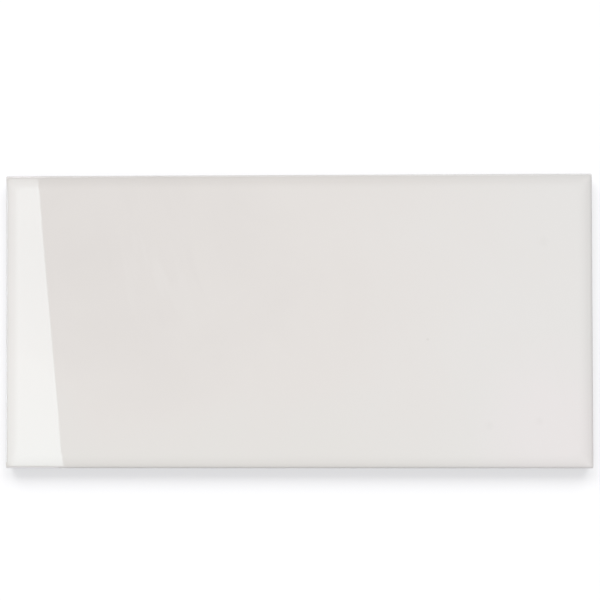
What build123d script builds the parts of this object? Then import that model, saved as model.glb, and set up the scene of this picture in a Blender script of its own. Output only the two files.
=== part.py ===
from build123d import *
import math
import os

# A dust-pressed, glazed ceramic wall tile lying flat, glazed face up. Millimetres, +Z up.
# The origin is under the middle of the tile, on the plane that the back rests on.

# Outline and thickness
LENGTH = 200.0
WIDTH = 100.0
THICKNESS = 7.0  # from the resting plane of the back to the flat of the face

# Pressed edge of the face, seen in section: a long easy curve down from the flat,
# then a tight round over to the side
CUSHION_WIDTH = 5.0  # from the side to where the flat begins
CUSHION_ANGLE = 22.0  # slope, degrees, where the long curve meets the tight round
ARRIS_RADIUS = 1.8
CORNER_RADIUS = 0.5  # upright corners, seen from above

# Sides lean in toward the back so that the pressing leaves the die
SIDE_DRAFT = 1.5  # degrees
BACK_BEVEL = 0.8

# Keyed back: a grid of shallow pockets in a plain rim, for the adhesive to grip
KEY_RIM = 7.0
KEY_RIB = 3.0
KEY_PITCH = 18.5  # nearest spacing that fills the back evenly is used
KEY_DEPTH = 0.8
KEY_DRAFT = 20.0  # degrees
KEY_CORNER = 1.2


def pressed_section(span):
    """Cross-section of the tile over one span: back at v = 0, face at v = THICKNESS."""
    half = span / 2
    slope = math.radians(CUSHION_ANGLE)
    draft = math.radians(SIDE_DRAFT)

    # The long curve is tangent to the flat and to the tight round
    cushion_radius = (CUSHION_WIDTH - ARRIS_RADIUS) / math.sin(slope) + ARRIS_RADIUS
    cushion_centre = (half - CUSHION_WIDTH, THICKNESS - cushion_radius)
    arris_centre = (
        half - ARRIS_RADIUS,
        cushion_centre[1] + (cushion_radius - ARRIS_RADIUS) * math.cos(slope),
    )

    cushion = CenterArc(cushion_centre, cushion_radius, 90 - CUSHION_ANGLE, CUSHION_ANGLE)
    arris = CenterArc(arris_centre, ARRIS_RADIUS, -SIDE_DRAFT, 90 - CUSHION_ANGLE + SIDE_DRAFT)
    side_top = arris @ 0
    side_foot_u = side_top.X - (side_top.Y - BACK_BEVEL) * math.tan(draft)
    back_and_side = Polyline(
        (0, 0), (side_foot_u - BACK_BEVEL, 0), (side_foot_u, BACK_BEVEL), side_top
    )
    flat = Line(cushion @ 1, (0, THICKNESS))

    edges = back_and_side.edges() + arris.edges() + cushion.edges() + flat.edges()
    half_outline = Curve() + edges
    return make_face(half_outline.edges() + mirror(half_outline, about=Plane.YZ).edges())


# Body: the same edge section runs along both directions and mitres at the corners
along = extrude(Plane.YZ * pressed_section(WIDTH), LENGTH, both=True)
across = extrude(Plane.XZ * pressed_section(LENGTH), WIDTH, both=True)
corners = extrude(RectangleRounded(LENGTH, WIDTH, CORNER_RADIUS), THICKNESS)
tile = along & across & corners

# Keyed back
count_x = max(1, round((LENGTH - 2 * KEY_RIM + KEY_RIB) / KEY_PITCH))
count_y = max(1, round((WIDTH - 2 * KEY_RIM + KEY_RIB) / KEY_PITCH))
pitch_x = (LENGTH - 2 * KEY_RIM + KEY_RIB) / count_x
pitch_y = (WIDTH - 2 * KEY_RIM + KEY_RIB) / count_y
pocket = extrude(
    RectangleRounded(pitch_x - KEY_RIB, pitch_y - KEY_RIB, KEY_CORNER),
    KEY_DEPTH,
    taper=KEY_DRAFT,
)
tile -= [place * pocket for place in GridLocations(pitch_x, pitch_y, count_x, count_y)]

tile.label = "tile"
os.makedirs("parts", exist_ok=True)
export_step(tile, "parts/tile.step")
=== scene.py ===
import math

import bmesh
import bpy
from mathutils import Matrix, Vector, noise


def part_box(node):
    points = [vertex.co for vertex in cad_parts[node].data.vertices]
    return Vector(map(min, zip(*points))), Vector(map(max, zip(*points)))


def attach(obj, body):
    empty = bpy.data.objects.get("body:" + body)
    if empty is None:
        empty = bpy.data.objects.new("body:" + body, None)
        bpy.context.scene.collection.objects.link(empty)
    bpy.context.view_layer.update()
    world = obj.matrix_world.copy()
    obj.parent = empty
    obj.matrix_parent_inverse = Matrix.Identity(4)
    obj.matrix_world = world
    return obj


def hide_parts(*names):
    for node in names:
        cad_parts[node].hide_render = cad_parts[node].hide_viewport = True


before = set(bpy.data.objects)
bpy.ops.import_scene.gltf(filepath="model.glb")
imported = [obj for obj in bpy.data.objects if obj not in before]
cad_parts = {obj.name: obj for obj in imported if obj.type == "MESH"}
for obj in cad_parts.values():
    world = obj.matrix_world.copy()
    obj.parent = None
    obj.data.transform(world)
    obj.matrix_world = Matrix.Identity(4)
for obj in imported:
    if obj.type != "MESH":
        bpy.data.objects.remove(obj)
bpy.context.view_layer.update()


# Tile
# One dust-pressed ceramic wall tile, fired with its glaze on. The face has a gloss glaze over a faint
# marble print, and the glaze rolls over the edge and stops part way down the sides. The rest of the
# sides and the keyed back are bare biscuit, which the adhesive grips.
MM = 0.001
foot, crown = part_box("tile")
half_length = crown.x
half_width = crown.y
face_height = crown.z

cushion_width = 5.0 * MM
cushion_slope = math.radians(22.0)
arris_radius = 1.8 * MM
corner_radius = 0.5 * MM
corner_opening = 0.6  # how much rounder the corners get, per distance in from the side
side_draft = math.radians(1.5)
back_bevel = 0.8 * MM
cushion_radius = (cushion_width - arris_radius) / math.sin(cushion_slope) + arris_radius
arris_height = face_height - cushion_radius + (cushion_radius - arris_radius) * math.cos(cushion_slope)

long_steps = 80
short_steps = 40
corner_steps = 6


def outline(inset, height):
    """Points round the tile, anticlockwise from its right end, set in from its widest line."""
    corner = corner_radius + corner_opening * max(inset, 0.0)
    reach_x = half_length - inset - corner
    reach_y = half_width - inset - corner
    arcs = []
    for quarter, (side_x, side_y) in enumerate(((1, 1), (-1, 1), (-1, -1), (1, -1))):
        arc = []
        for step in range(corner_steps + 1):
            turn = (quarter + step / corner_steps) * math.pi / 2
            arc.append(Vector((
                side_x * reach_x + corner * math.cos(turn),
                side_y * reach_y + corner * math.sin(turn),
                height,
            )))
        arcs.append(arc)
    points = []
    for quarter, steps in enumerate((long_steps, short_steps, long_steps, short_steps)):
        arc = arcs[quarter]
        next_arc = arcs[(quarter + 1) % 4]
        points += arc[:-1]
        points += [arc[-1].lerp(next_arc[0], step / steps) for step in range(steps)]
    return points


GLAZE = 0
BISCUIT = 1
tile_mesh = bmesh.new()


def lay_loop(points):
    return [tile_mesh.verts.new(point) for point in points]


def skin(loop, next_loop, finish):
    """Joins two loops of the same length with a band of faces."""
    count = len(loop)
    for k in range(count):
        after = (k + 1) % count
        band = tile_mesh.faces.new((loop[k], loop[after], next_loop[after], next_loop[k]))
        band.material_index = finish
        band.smooth = True


# Glazed top: the flat, the long cushion curve, then the tight arris down to the side
flat_inset = cushion_width + 0.5 * MM
flat_loop = lay_loop(outline(flat_inset, face_height))
loop = flat_loop
cushion_steps = 12
for step in range(cushion_steps):
    tilt = cushion_slope * step / cushion_steps
    drop = cushion_radius * (1 - math.cos(tilt))
    next_loop = lay_loop(outline(cushion_width - cushion_radius * math.sin(tilt), face_height - drop))
    skin(loop, next_loop, GLAZE)
    loop = next_loop
arris_steps = 12
for step in range(arris_steps + 1):
    tilt = cushion_slope + (math.pi / 2 + side_draft - cushion_slope) * step / arris_steps
    inset = arris_radius * (1 - math.sin(tilt))
    next_loop = lay_loop(outline(inset, arris_height + arris_radius * math.cos(tilt)))
    skin(loop, next_loop, GLAZE)
    loop = next_loop

# The flat of the face, a grid between four stretches of its loop that meet in the corners
half_corner = corner_steps // 2
grid_x = long_steps + corner_steps
grid_y = short_steps + corner_steps
turned = flat_loop[half_corner:] + flat_loop[:half_corner]
far_side = turned[:grid_x + 1]
left_end = turned[grid_x:grid_x + grid_y + 1]
near_side = turned[grid_x + grid_y:2 * grid_x + grid_y + 1]
right_end = turned[2 * grid_x + grid_y:] + turned[:1]
grid = [[None] * (grid_y + 1) for _ in range(grid_x + 1)]
for i in range(grid_x + 1):
    grid[i][grid_y] = far_side[grid_x - i]
    grid[i][0] = near_side[i]
for j in range(grid_y + 1):
    grid[0][j] = left_end[grid_y - j]
    grid[grid_x][j] = right_end[j]
for i in range(1, grid_x):
    u = i / grid_x
    for j in range(1, grid_y):
        v = j / grid_y
        across = grid[0][j].co.lerp(grid[grid_x][j].co, u)
        along = grid[i][0].co.lerp(grid[i][grid_y].co, v)
        near_corners = grid[0][0].co.lerp(grid[grid_x][0].co, u)
        far_corners = grid[0][grid_y].co.lerp(grid[grid_x][grid_y].co, u)
        grid[i][j] = tile_mesh.verts.new(across + along - near_corners.lerp(far_corners, v))
for i in range(grid_x):
    for j in range(grid_y):
        cell = tile_mesh.faces.new((grid[i][j], grid[i + 1][j], grid[i + 1][j + 1], grid[i][j + 1]))
        cell.material_index = GLAZE
        cell.smooth = True

# Sides: the glaze ends in a soft wandering lip, with the bare biscuit set back under it
glaze_line = 3.0 * MM
glaze_wander = 0.5 * MM
glaze_thickness = 0.16 * MM
slow_waves = 45.0  # turns of the wander per metre
quick_waves = 190.0
quick_share = 0.35


def side_inset(height):
    return (arris_height - height) * math.tan(side_draft)


def glaze_edge(point):
    slow = noise.noise(Vector((point.x, point.y, 0.3)) * slow_waves)
    quick = noise.noise(Vector((point.x, point.y, 0.7)) * quick_waves)
    return glaze_line + glaze_wander * (slow + quick_share * quick)


def lip_loop(rise, set_back):
    """A loop that follows the glaze's lower edge, at a rise above it."""
    points = []
    for point in outline(side_inset(glaze_line) + set_back, 0.0):
        height = glaze_edge(point) + rise
        points.append(Vector((point.x, point.y, height)))
    return points


# Section of the lip: rise above the glaze's lower edge, and depth in from the side
lip = (
    (0.75 * MM, 0.0),
    (0.42 * MM, -0.025 * MM),
    (0.20 * MM, -0.030 * MM),
    (0.07 * MM, 0.010 * MM),
    (0.00 * MM, 0.080 * MM),
    (-0.02 * MM, glaze_thickness),
)
for rise, set_back in lip:
    next_loop = lay_loop(lip_loop(rise, set_back))
    skin(loop, next_loop, GLAZE)
    loop = next_loop
lip_foot = [vert.co.z for vert in loop]
bevel_inset = side_inset(back_bevel) + glaze_thickness
bevel_top = 1.1 * back_bevel
side_steps = 5
for step in range(1, side_steps + 1):
    share = step / side_steps
    inset = side_inset(glaze_line) + glaze_thickness
    inset += (bevel_inset - inset) * share
    points = outline(inset, 0.0)
    for point, start in zip(points, lip_foot):
        point.z = start + (bevel_top - start) * share
    next_loop = lay_loop(points)
    skin(loop, next_loop, BISCUIT)
    loop = next_loop

# Section of the bevel, eased at both ends: depth in from the foot of the side, and height
bevel = (
    (0.10 * MM, 0.62 * MM),
    (0.45 * MM, 0.22 * MM),
    (0.66 * MM, 0.05 * MM),
    (0.86 * MM, 0.0),
    (1.50 * MM, 0.0),
)
for set_back, height in bevel:
    next_loop = lay_loop(outline(bevel_inset + set_back, height))
    skin(loop, next_loop, BISCUIT)
    loop = next_loop
back_loop = loop

# Keyed back: shallow pressed pockets with eased edges, in a grid inside a plain rim
key_rim = 7.0 * MM
key_rib = 3.0 * MM
key_pitch = 18.5 * MM
key_depth = 0.8 * MM
key_corner = 1.2 * MM
key_corner_least = 0.4 * MM
key_corner_steps = 5
count_x = round((2 * half_length - 2 * key_rim + key_rib) / key_pitch)
count_y = round((2 * half_width - 2 * key_rim + key_rib) / key_pitch)
pitch_x = (2 * half_length - 2 * key_rim + key_rib) / count_x
pitch_y = (2 * half_width - 2 * key_rim + key_rib) / count_y

# Section of a pocket: depth in from its mouth, and height over the plane that the back rests on
key_section = (
    (-0.60 * MM, 0.0),
    (-0.30 * MM, 0.0),
    (-0.10 * MM, 0.05 * MM),
    (0.04 * MM, 0.18 * MM),
    (0.20 * MM, 0.58 * MM),
    (0.32 * MM, 0.74 * MM),
    (0.58 * MM, key_depth),
    (1.20 * MM, key_depth),
)


def pocket_outline(middle_x, middle_y, inset, height):
    corner = max(key_corner - inset, key_corner_least)
    reach_x = (pitch_x - key_rib) / 2 - inset - corner
    reach_y = (pitch_y - key_rib) / 2 - inset - corner
    points = []
    for quarter, (side_x, side_y) in enumerate(((1, 1), (-1, 1), (-1, -1), (1, -1))):
        for step in range(key_corner_steps + 1):
            turn = (quarter + step / key_corner_steps) * math.pi / 2
            points.append(Vector((
                middle_x + side_x * reach_x + corner * math.cos(turn),
                middle_y + side_y * reach_y + corner * math.sin(turn),
                height,
            )))
    return points


rib_edges = []


def loop_edges(loop):
    return [tile_mesh.edges.get((loop[k - 1], loop[k])) for k in range(len(loop))]


for column in range(count_x):
    for row in range(count_y):
        middle_x = (column - (count_x - 1) / 2) * pitch_x
        middle_y = (row - (count_y - 1) / 2) * pitch_y
        mouth = None
        for inset, height in key_section:
            next_loop = lay_loop(pocket_outline(middle_x, middle_y, inset, height))
            if mouth is None:
                mouth = next_loop
            else:
                skin(loop, next_loop, BISCUIT)
            loop = next_loop
        floor_face = tile_mesh.faces.new(loop)
        floor_face.material_index = BISCUIT
        floor_face.smooth = True
        rib_edges += loop_edges(mouth)
ribs = bmesh.ops.triangle_fill(
    tile_mesh, edges=loop_edges(back_loop) + rib_edges, use_beauty=True, use_dissolve=False
)
for item in ribs["geom"]:
    if isinstance(item, bmesh.types.BMFace):
        item.material_index = BISCUIT
        item.smooth = True
bmesh.ops.recalc_face_normals(tile_mesh, faces=tile_mesh.faces)

pressed_tile = bpy.data.objects.new("pressed_tile", bpy.data.meshes.new("pressed_tile"))
tile_mesh.to_mesh(pressed_tile.data)
tile_mesh.free()
bpy.context.scene.collection.objects.link(pressed_tile)


# Mottle that the firing leaves in glaze and biscuit alike, each with its own grain size
def new_node(tree, kind, **settings):
    node = tree.nodes.new(kind)
    for name, value in settings.items():
        setattr(node, name, value)
    return node


mottle = bpy.data.node_groups.new("fired_mottle", "ShaderNodeTree")
mottle.interface.new_socket("Vector", in_out="INPUT", socket_type="NodeSocketVector")
mottle.interface.new_socket("Grain", in_out="INPUT", socket_type="NodeSocketFloat")
mottle.interface.new_socket("Soft", in_out="OUTPUT", socket_type="NodeSocketFloat")
mottle.interface.new_socket("Fine", in_out="OUTPUT", socket_type="NodeSocketFloat")
mottle_in = new_node(mottle, "NodeGroupInput")
mottle_out = new_node(mottle, "NodeGroupOutput")
soft_noise = new_node(mottle, "ShaderNodeTexNoise")
soft_noise.inputs["Detail"].default_value = 3.0
soft_noise.inputs["Roughness"].default_value = 0.5
fine_scale = new_node(mottle, "ShaderNodeMath", operation="MULTIPLY")
fine_scale.inputs[1].default_value = 5.0
fine_noise = new_node(mottle, "ShaderNodeTexNoise")
fine_noise.inputs["Detail"].default_value = 2.0
fine_noise.inputs["Roughness"].default_value = 0.6
mottle.links.new(mottle_in.outputs["Vector"], soft_noise.inputs["Vector"])
mottle.links.new(mottle_in.outputs["Grain"], soft_noise.inputs["Scale"])
mottle.links.new(mottle_in.outputs["Grain"], fine_scale.inputs[0])
mottle.links.new(mottle_in.outputs["Vector"], fine_noise.inputs["Vector"])
mottle.links.new(fine_scale.outputs[0], fine_noise.inputs["Scale"])
mottle.links.new(soft_noise.outputs["Fac"], mottle_out.inputs["Soft"])
mottle.links.new(fine_noise.outputs["Fac"], mottle_out.inputs["Fine"])


def new_finish(name, grain_scale):
    """A material with its surface, the place on the tile, its height there and the fired mottle."""
    finish = bpy.data.materials.new(name)
    finish.use_nodes = True
    finish.node_tree.nodes.clear()
    tree = finish.node_tree
    surface = new_node(tree, "ShaderNodeBsdfPrincipled")
    output = new_node(tree, "ShaderNodeOutputMaterial")
    tree.links.new(surface.outputs["BSDF"], output.inputs["Surface"])
    place = new_node(tree, "ShaderNodeTexCoord").outputs["Object"]
    axes = new_node(tree, "ShaderNodeSeparateXYZ")
    tree.links.new(place, axes.inputs[0])
    grain = new_node(tree, "ShaderNodeGroup", node_tree=mottle)
    grain.inputs["Grain"].default_value = grain_scale
    tree.links.new(place, grain.inputs["Vector"])
    pressed_tile.data.materials.append(finish)
    return tree, surface, place, axes.outputs["Z"], grain


def feed(tree, socket, value):
    if isinstance(value, bpy.types.NodeSocket):
        tree.links.new(value, socket)
    else:
        socket.default_value = value


def combine(tree, way, first, second):
    node = new_node(tree, "ShaderNodeMath", operation=way)
    feed(tree, node.inputs[0], first)
    feed(tree, node.inputs[1], second)
    return node.outputs[0]


def remap(tree, value, from_low, from_high, to_low, to_high):
    node = new_node(tree, "ShaderNodeMapRange")
    feed(tree, node.inputs["Value"], value)
    node.inputs["From Min"].default_value = from_low
    node.inputs["From Max"].default_value = from_high
    node.inputs["To Min"].default_value = to_low
    node.inputs["To Max"].default_value = to_high
    return node.outputs["Result"]


def blend_colour(tree, share, first, second):
    node = new_node(tree, "ShaderNodeMix", data_type="RGBA")
    feed(tree, node.inputs[0], share)
    feed(tree, node.inputs[6], first)
    feed(tree, node.inputs[7], second)
    return node.outputs[2]


def cloudy(tree, place, scale, detail, distortion):
    node = new_node(tree, "ShaderNodeTexNoise")
    feed(tree, node.inputs["Vector"], place)
    node.inputs["Scale"].default_value = scale
    node.inputs["Detail"].default_value = detail
    node.inputs["Distortion"].default_value = distortion
    return node.outputs["Fac"]


def stretched(tree, place, turn, stretch, shift=(0.0, 0.0, 0.0)):
    """Turns the place about the upright and draws it out, so that a pattern gets a grain direction."""
    node = new_node(tree, "ShaderNodeMapping", vector_type="TEXTURE")
    feed(tree, node.inputs["Vector"], place)
    node.inputs["Location"].default_value = shift
    node.inputs["Rotation"].default_value = (0.0, 0.0, turn)
    node.inputs["Scale"].default_value = stretch
    return node.outputs["Vector"]


def measured_along(tree, place, direction):
    node = new_node(tree, "ShaderNodeVectorMath", operation="DOT_PRODUCT")
    feed(tree, node.inputs[0], place)
    node.inputs[1].default_value = direction
    return node.outputs["Value"]


def distance_from(tree, place, middle, reach):
    """Distance from a middle, where 1 is an oval of the given reach along and across the tile."""
    node = new_node(tree, "ShaderNodeVectorMath", operation="MULTIPLY_ADD")
    feed(tree, node.inputs[0], place)
    node.inputs[1].default_value = (1 / reach[0], 1 / reach[1], 0.0)
    node.inputs[2].default_value = (-middle[0] / reach[0], -middle[1] / reach[1], 0.0)
    size = new_node(tree, "ShaderNodeVectorMath", operation="LENGTH")
    tree.links.new(node.outputs["Vector"], size.inputs[0])
    return size.outputs["Value"]


def specks(tree, place, spacing, largest):
    """A scatter of dots, about one in each square of the spacing, in sizes down to none."""
    cells = new_node(tree, "ShaderNodeTexVoronoi")
    feed(tree, cells.inputs["Vector"], place)
    cells.inputs["Scale"].default_value = 1 / spacing
    chance = new_node(tree, "ShaderNodeSeparateColor")
    tree.links.new(cells.outputs["Color"], chance.inputs["Color"])
    size = remap(tree, chance.outputs["Red"], 0.45, 1.0, 0.0, largest / spacing)
    depth = combine(tree, "SUBTRACT", size, cells.outputs["Distance"])
    return remap(tree, depth, 0.0, 0.4 * largest / spacing, 0.0, 1.0)


# Glaze over the marble print: a warm grey cloud toward the left end, paler and more neutral toward the
# near edge and the right end, a faint blush in the near right corner, a few hair veins slanting through
# the cloud, and the odd fleck
cloud_middle = (-75 * MM, 22 * MM)
cloud_reach = (170 * MM, 105 * MM)
pale_corner_middle = (-95 * MM, -50 * MM)
pale_corner_reach = (70 * MM, 42 * MM)
blush_middle = (88 * MM, -36 * MM)
blush_reach = (36 * MM, 34 * MM)
veins_middle = (-48 * MM, 22 * MM)
veins_reach = (22 * MM, 34 * MM)
cloud_dark = (0.716, 0.683, 0.660, 1.0)
cloud_grey = (0.748, 0.716, 0.691, 1.0)
cloud_pale = (0.757, 0.727, 0.703, 1.0)
near_tone = (0.744, 0.725, 0.699, 1.0)
right_tone = (0.761, 0.746, 0.731, 1.0)
blush_tone = (0.779, 0.747, 0.741, 1.0)
vein_pale = (0.765, 0.738, 0.716, 1.0)
vein_dark = (0.690, 0.655, 0.634, 1.0)
fleck_tone = (0.48, 0.465, 0.44, 1.0)
thin_tone = (0.68, 0.63, 0.56, 1.0)
glaze_grain = 160.0
tree, surface, spot, height, grain = new_finish("marble_glaze", glaze_grain)
wisps = remap(tree, cloudy(tree, spot, 26.0, 4.0, 0.6), 0.3, 0.7, -0.16, 0.16)
cloud_edge = distance_from(tree, spot, cloud_middle, cloud_reach)
pale_corner = distance_from(tree, spot, pale_corner_middle, pale_corner_reach)
pale_corner = remap(tree, pale_corner, 0.0, 1.0, 0.28, 0.0)
tone = combine(tree, "ADD", combine(tree, "ADD", cloud_edge, wisps), pale_corner)
print_tone = new_node(tree, "ShaderNodeValToRGB")
tree.links.new(combine(tree, "MULTIPLY", tone, 0.86), print_tone.inputs["Fac"])
cloud_tones = print_tone.color_ramp.elements
cloud_tones[0].position = 0.065
cloud_tones[0].color = cloud_dark
cloud_tones[1].position = 0.93
cloud_tones[1].color = cloud_pale
middle_tone = cloud_tones.new(0.45)
middle_tone.color = cloud_grey

# The paler parts start with ragged edges
ragged = combine(tree, "MULTIPLY", wisps, 60 * MM)
toward_near = combine(tree, "ADD", measured_along(tree, spot, (0.0, -1.0, 0.0)), ragged)
toward_near = remap(tree, toward_near, 22 * MM, 44 * MM, 0.0, 0.85)
print_colour = blend_colour(tree, toward_near, print_tone.outputs["Color"], near_tone)
toward_right = combine(tree, "ADD", measured_along(tree, spot, (1.0, 0.0, 0.0)), ragged)
toward_right = remap(tree, toward_right, 14 * MM, 98 * MM, 0.0, 1.0)
print_colour = blend_colour(tree, toward_right, print_colour, right_tone)
blush = distance_from(tree, spot, blush_middle, blush_reach)
blush = remap(tree, combine(tree, "ADD", blush, wisps), 0.3, 1.0, 1.0, 0.0)
print_colour = blend_colour(tree, blush, print_colour, blush_tone)

# Hair veins, pale and dark, drawn out along a slant
vein_lean = math.radians(15.5)
vein_stretch = (1.0, 6.0, 1.0)
vein_shift = (2.7 * MM, 6.8 * MM, 0.0)
vein_place = stretched(tree, spot, vein_lean, vein_stretch, vein_shift)
vein_field = cloudy(tree, vein_place, 190.0, 2.0, 0.3)
from_veins = distance_from(tree, spot, veins_middle, veins_reach)
in_cloud = remap(tree, from_veins, 0.3, 1.1, 1.0, 0.12)
pale_veins = combine(tree, "MULTIPLY", remap(tree, vein_field, 0.56, 0.70, 0.0, 0.32), in_cloud)
print_colour = blend_colour(tree, pale_veins, print_colour, vein_pale)
dark_veins = combine(tree, "MULTIPLY", remap(tree, vein_field, 0.42, 0.30, 0.0, 0.24), in_cloud)
print_colour = blend_colour(tree, dark_veins, print_colour, vein_dark)

# Place, radius and strength of each fleck
flecks = (
    (44.0 * MM, -6.2 * MM, 0.7 * MM, 0.20),
    (64.7 * MM, -35.5 * MM, 1.9 * MM, 0.065),
    (81.5 * MM, -33.8 * MM, 1.9 * MM, 0.065),
    (83.2 * MM, 26.8 * MM, 2.2 * MM, 0.065),
)
for x, y, radius, strength in flecks:
    fleck = remap(tree, distance_from(tree, spot, (x, y), (radius, radius)), 1.0, 0.2, 0.0, strength)
    print_colour = blend_colour(tree, fleck, print_colour, fleck_tone)

# Toward its lower edge the glaze thins, and the body shows through
thin_band = 1.2 * MM
thin_glaze = remap(tree, height, glaze_line, glaze_line + thin_band, 0.45, 0.0)
print_colour = blend_colour(tree, thin_glaze, print_colour, thin_tone)
tree.links.new(print_colour, surface.inputs["Base Color"])

# The gloss, with the faint orange peel of a fired glaze
tree.links.new(remap(tree, grain.outputs["Soft"], 0.3, 0.7, 0.008, 0.018), surface.inputs["Roughness"])
surface.inputs["IOR"].default_value = 1.52
peel = new_node(tree, "ShaderNodeBump")
peel.inputs["Distance"].default_value = 0.0002 * MM
feed(tree, peel.inputs["Height"], grain.outputs["Soft"])
tree.links.new(peel.outputs["Normal"], surface.inputs["Normal"])

# Biscuit: a chalky pale body, gritty under a loupe, with die marks down its sides and streaks of kiln
# wash on the rim and the ribs, which rode on the kiln rollers
body_dark = (0.64, 0.585, 0.51, 1.0)
body_pale = (0.80, 0.755, 0.685, 1.0)
iron_brown = (0.42, 0.33, 0.24, 1.0)
wash_white = (0.86, 0.85, 0.825, 1.0)
biscuit_grain = 420.0
iron_spacing = 3.2 * MM
iron_radius = 0.22 * MM
tree, surface, spot, height, grain = new_finish("bare_biscuit", biscuit_grain)
body_colour = blend_colour(tree, grain.outputs["Soft"], body_dark, body_pale)
iron_spots = combine(tree, "MULTIPLY", specks(tree, spot, iron_spacing, iron_radius), 0.55)
body_colour = blend_colour(tree, iron_spots, body_colour, iron_brown)
roller_streaks = cloudy(tree, stretched(tree, spot, 0.0, (9.0, 1.0, 1.0)), 330.0, 3.0, 0.2)
on_ribs = remap(tree, height, 0.04 * MM, 0.22 * MM, 0.8, 0.0)
wash = combine(tree, "MULTIPLY", remap(tree, roller_streaks, 0.42, 0.62, 0.0, 1.0), on_ribs)
body_colour = blend_colour(tree, wash, body_colour, wash_white)
tree.links.new(body_colour, surface.inputs["Base Color"])
tree.links.new(remap(tree, grain.outputs["Fine"], 0.3, 0.7, 0.82, 0.96), surface.inputs["Roughness"])
die_marks = cloudy(tree, stretched(tree, spot, 0.0, (1.0, 1.0, 40.0)), 2200.0, 1.0, 0.0)
on_sides = remap(tree, height, 0.8 * MM, 1.0 * MM, 0.0, 0.6)
grit_height = combine(tree, "ADD", grain.outputs["Fine"], combine(tree, "MULTIPLY", die_marks, on_sides))
grit = new_node(tree, "ShaderNodeBump")
grit.inputs["Strength"].default_value = 0.7
grit.inputs["Distance"].default_value = 0.12 * MM
tree.links.new(grit_height, grit.inputs["Height"])
tree.links.new(grit.outputs["Normal"], surface.inputs["Normal"])

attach(pressed_tile, "root")
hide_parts("tile")


# Camera
# A long lens looks down on the face from about half a metre, a degree or so off square, as in the
# photograph.
camera = bpy.data.objects.new("camera", bpy.data.cameras.new("camera"))
camera.data.lens = 85.0
camera.data.sensor_width = 36.0
camera.location = (12.141 * MM, -1.992 * MM, 487.698 * MM)
camera.rotation_euler = (math.radians(1.0964), math.radians(1.3558), math.radians(-0.1112))
camera.data.clip_start = 0.01
bpy.context.scene.collection.objects.link(camera)
bpy.context.scene.camera = camera


# Floor
# A plain white studio floor that takes the tile's soft shadow. Part of its white is its own, so that
# little of it is thrown back up at the edges of the tile.
floor_reach = 6.0
floor_colour = 0.2
floor_glow = 0.5645
floor_white = (0.977, 0.977, 1.0, 1.0)
floor_mesh = bmesh.new()
bmesh.ops.create_grid(floor_mesh, x_segments=1, y_segments=1, size=floor_reach)
floor = bpy.data.objects.new("floor", bpy.data.meshes.new("floor"))
floor_mesh.to_mesh(floor.data)
floor_mesh.free()
bpy.context.scene.collection.objects.link(floor)
floor_paint = bpy.data.materials.new("floor_paint")
floor_paint.use_nodes = True
tree = floor_paint.node_tree
paint = tree.nodes["Principled BSDF"]
paint.inputs["Base Color"].default_value = (floor_colour, floor_colour, floor_colour, 1.0)
paint.inputs["Roughness"].default_value = 1.0
paint.inputs["Specular IOR Level"].default_value = 0.0
paint.inputs["Emission Color"].default_value = floor_white


def seen_rays(tree):
    """1 for rays that show a thing, straight or in a reflection, and 0 for rays that light one."""
    ray = new_node(tree, "ShaderNodeLightPath")
    seen = combine(tree, "ADD", ray.outputs["Is Camera Ray"], ray.outputs["Is Glossy Ray"])
    return combine(tree, "ADD", seen, ray.outputs["Is Transmission Ray"])


tree.links.new(combine(tree, "MULTIPLY", seen_rays(tree), floor_glow), paint.inputs["Emission Strength"])
floor.data.materials.append(floor_paint)


# Light
# A soft studio dome, brightest overhead and brighter low down beyond the far side than on the near side.
# Two wide soft lamps beyond the far side light the floor alone and draw the shadow along the near edge
# and, more faintly, along the two ends.
studio = bpy.data.worlds.new("studio")
studio.use_nodes = True
bpy.context.scene.world = studio
tree = studio.node_tree
sky_place = new_node(tree, "ShaderNodeTexCoord").outputs["Generated"]
sky_peak = Vector((-0.03, -0.16, 1.0)).normalized()
peak_level = 1.667
rim_level = 0.40
peak_width = math.radians(12.0)
rim_angle = math.radians(75.0)
far_lean = (-0.15, 0.42, 0.0)  # how much the low sky gains toward the far side and the left
off_peak = combine(tree, "ARCCOSINE", measured_along(tree, sky_place, sky_peak), 0.0)
sky_level = remap(tree, off_peak, peak_width, rim_angle, peak_level, rim_level)
sky_height = measured_along(tree, sky_place, (0.0, 0.0, 1.0))
low_down = remap(tree, sky_height, 0.85, 0.1, 0.0, 1.0)
far_glow = combine(tree, "MULTIPLY", measured_along(tree, sky_place, far_lean), low_down)
sky_level = combine(tree, "ADD", sky_level, far_glow)

# A dark flag high beyond the far side, which is only seen in the gloss and takes no light away
flag_depth = 0.42
toward_far = measured_along(tree, sky_place, (0.0, 1.0, 0.0))
flag_start = remap(tree, toward_far, 0.18, 0.50, 0.0, flag_depth)
flag_end = remap(tree, toward_far, 0.84, 0.95, 1.0, 0.0)
flag = combine(tree, "MULTIPLY", combine(tree, "MULTIPLY", flag_start, flag_end), seen_rays(tree))
sky_level = combine(tree, "SUBTRACT", sky_level, flag)

# The studio's white wall, which closes the floor off at the horizon and is only seen, not a light
wall_top = 0.24
wall_fade = 0.06
white_wall = remap(tree, sky_height, wall_top, wall_top - wall_fade, 0.0, 1.0)
white_wall = combine(tree, "MULTIPLY", white_wall, seen_rays(tree))
beside_wall = combine(tree, "SUBTRACT", 1.0, white_wall)
sky_level = combine(tree, "ADD", combine(tree, "MULTIPLY", sky_level, beside_wall), white_wall)
tree.links.new(sky_level, tree.nodes["Background"].inputs["Strength"])
tree.nodes["Background"].inputs["Color"].default_value = (1.0, 1.0, 1.0, 1.0)

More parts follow.
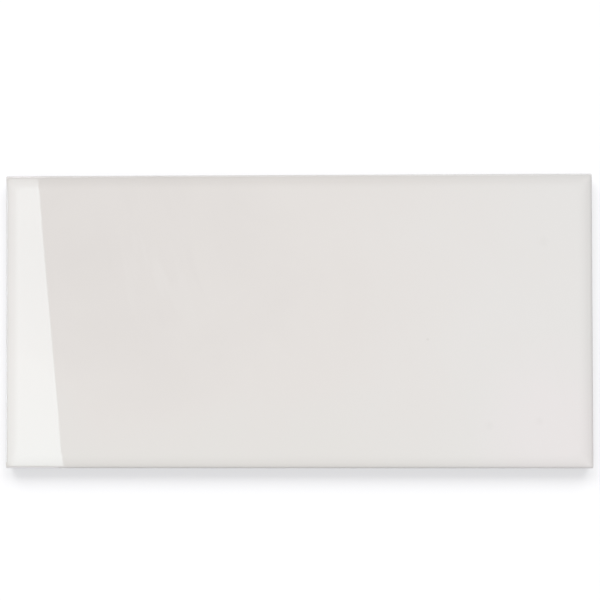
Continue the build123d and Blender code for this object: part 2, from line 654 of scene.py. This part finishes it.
floor_only = bpy.data.collections.new("floor_only")
floor_only.objects.link(floor)
lamp_elevation = math.radians(39.5)
lamp_width = math.radians(34.0)
for name, degrees, strength in (("floor_wash_left", -25.0, 3.8), ("floor_wash_right", 25.0, 3.2)):
    lamp = bpy.data.objects.new(name, bpy.data.lights.new(name, "SUN"))
    lamp.data.energy = strength
    lamp.data.angle = lamp_width
    bearing = math.radians(degrees)
    toward = Vector((math.sin(bearing), math.cos(bearing), math.tan(lamp_elevation)))
    lamp.rotation_euler = toward.to_track_quat("Z", "Y").to_euler()
    lamp.light_linking.receiver_collection = floor_only
    bpy.context.scene.collection.objects.link(lamp)


# Gloss panel
# A broad flat lamp over the left end, with a side that comes down to the floor beyond it. It shows only
# in the gloss of the glaze, where its edge is the straight edge of the bright band. Sizes are in metres.
panel_height = 1.0
panel_side = -2.2
panel_reach = 4.0
panel_steps = 48
band_middle = -84.27 * MM  # where the edge of the band crosses the middle of the face
band_slant = 0.0885
lift = panel_height - face_height
sight = camera.location.z - face_height
flat_half = half_width - cushion_width
flat_span = flat_half * (1 + lift / sight)


def panel_edge(y):
    """The panel's edge bows so that the band's edge runs straight on over the rounded edges."""
    beyond = max(abs(y) - flat_span, 0.0)
    over_cushion = cushion_radius * math.sin(math.atan(beyond / lift) / 2)
    across = math.copysign(min(abs(y) * sight / (sight + lift), flat_half) + over_cushion, y)
    crossing = band_middle - band_slant * across
    lean = (camera.location.x - crossing) / math.hypot(sight, across)
    return crossing - lean * math.hypot(lift, y - across)


def show_in_gloss_only(piece):
    piece.visible_camera = False
    piece.visible_diffuse = False
    piece.visible_shadow = False
    piece.visible_transmission = False


def new_glow(name, colour):
    """A material that only gives light."""
    material = bpy.data.materials.new(name)
    material.use_nodes = True
    material.node_tree.nodes.clear()
    emission = new_node(material.node_tree, "ShaderNodeEmission")
    emission.inputs["Color"].default_value = colour
    output = new_node(material.node_tree, "ShaderNodeOutputMaterial")
    material.node_tree.links.new(emission.outputs["Emission"], output.inputs["Surface"])
    return material, emission.inputs["Strength"]


panel_points = []
for step in range(panel_steps + 1):
    y = panel_reach * (1 - 2 * step / panel_steps) ** 3
    panel_points.append((panel_edge(y), y, panel_height))
panel_points += [(panel_side, -panel_reach, panel_height), (panel_side, panel_reach, panel_height)]
panel_points += [(panel_side, panel_reach, 0.0), (panel_side, -panel_reach, 0.0)]
count = len(panel_points)
top_sheet = list(range(count - 2))
side_sheet = list(range(count - 4, count))
gloss_panel = bpy.data.objects.new("gloss_panel", bpy.data.meshes.new("gloss_panel"))
gloss_panel.data.from_pydata(panel_points, [], [top_sheet, side_sheet])
bpy.context.scene.collection.objects.link(gloss_panel)
show_in_gloss_only(gloss_panel)

# Brightest over the tile, dimmer outward to the left, past the far side and past the near side
panel_white = (0.880, 0.968, 1.0, 1.0)
level_over_tile = 4.98
level_outside = 3.64
outer_drop = -1.46
near_drop = -1.60
panel_light, panel_strength = new_glow("panel_light", panel_white)
tree = panel_light.node_tree
panel_place = new_node(tree, "ShaderNodeTexCoord").outputs["Object"]
panel_along = measured_along(tree, panel_place, (0.0, 1.0, 0.0))
past_far_side = remap(tree, panel_along, 0.15, 1.50, 0.0, 1.30)
outward = combine(tree, "ADD", measured_along(tree, panel_place, (-0.7, 0.0, 0.0)), past_far_side)
panel_level = remap(tree, outward, 0.30, 0.50, level_over_tile, level_outside)
panel_level = combine(tree, "ADD", panel_level, remap(tree, outward, 0.50, 1.50, 0.0, outer_drop))
past_near_side = remap(tree, panel_along, -0.40, -2.40, 0.0, near_drop)
panel_level = combine(tree, "ADD", panel_level, past_near_side)

# The outer corners are dim, so that the face keeps its tone where it is seen askew, and so is the foot
corner_level = 0.25
foot_level = 0.05
outer_side = remap(tree, measured_along(tree, panel_place, (-1.0, 0.0, 0.0)), 0.45, 1.00, 0.0, 1.0)
outer_ends = remap(tree, combine(tree, "ABSOLUTE", panel_along, 0.0), 0.30, 0.90, 0.0, 1.0)
corner_fade = remap(tree, combine(tree, "MINIMUM", outer_side, outer_ends), 0.0, 1.0, 1.0, corner_level)
panel_level = combine(tree, "MULTIPLY", panel_level, corner_fade)
panel_rise = measured_along(tree, panel_place, (0.0, 0.0, 1.0))
side_fade = remap(tree, panel_rise, 0.0, panel_height, foot_level, 1.0)
tree.links.new(combine(tree, "MULTIPLY", panel_level, side_fade), panel_strength)
gloss_panel.data.materials.append(panel_light)


# Edge cards
# Cards flat on the floor: white beyond the far side, the left end and the ends of the bright band, and
# dark beyond the rest of the near side and the right end. They show only in the gloss of the tight arris.
card_lift = 0.2 * MM

# From left to right and from near to far, in millimetres, then level and colour
cards = (
    ("far_card", (-92.0, 130.0), (57.0, 457.0), 2.45, (0.94, 0.97, 1.0, 1.0)),
    ("far_band_card", (-140.0, -92.0), (57.0, 457.0), 5.10, (0.95, 0.92, 1.0, 1.0)),
    ("left_card", (-510.0, -110.0), (-50.0, 50.0), 4.90, (0.76, 0.89, 1.0, 1.0)),
    ("near_band_card", (-140.0, -84.0), (-455.0, -54.0), 2.05, (0.85, 0.85, 1.0, 1.0)),
    ("near_card", (-84.0, 130.0), (-455.0, -55.0), 0.22, (0.55, 0.55, 1.0, 1.0)),
    ("right_card", (100.5, 500.0), (-50.0, 50.0), 0.72, (1.0, 0.96, 1.0, 1.0)),
)
for name, (left, right), (near, far), level, colour in cards:
    card_corners = [(left, near), (right, near), (right, far), (left, far)]
    card_points = [(x * MM, y * MM, card_lift) for x, y in card_corners]
    card = bpy.data.objects.new(name, bpy.data.meshes.new(name))
    card.data.from_pydata(card_points, [], [(0, 1, 2, 3)])
    bpy.context.scene.collection.objects.link(card)
    show_in_gloss_only(card)
    card_light, card_strength = new_glow(name, colour)
    card_strength.default_value = level
    card.data.materials.append(card_light)


# Picture
# The picture keeps each colour as it is written.
bpy.context.scene.view_settings.view_transform = "Standard"
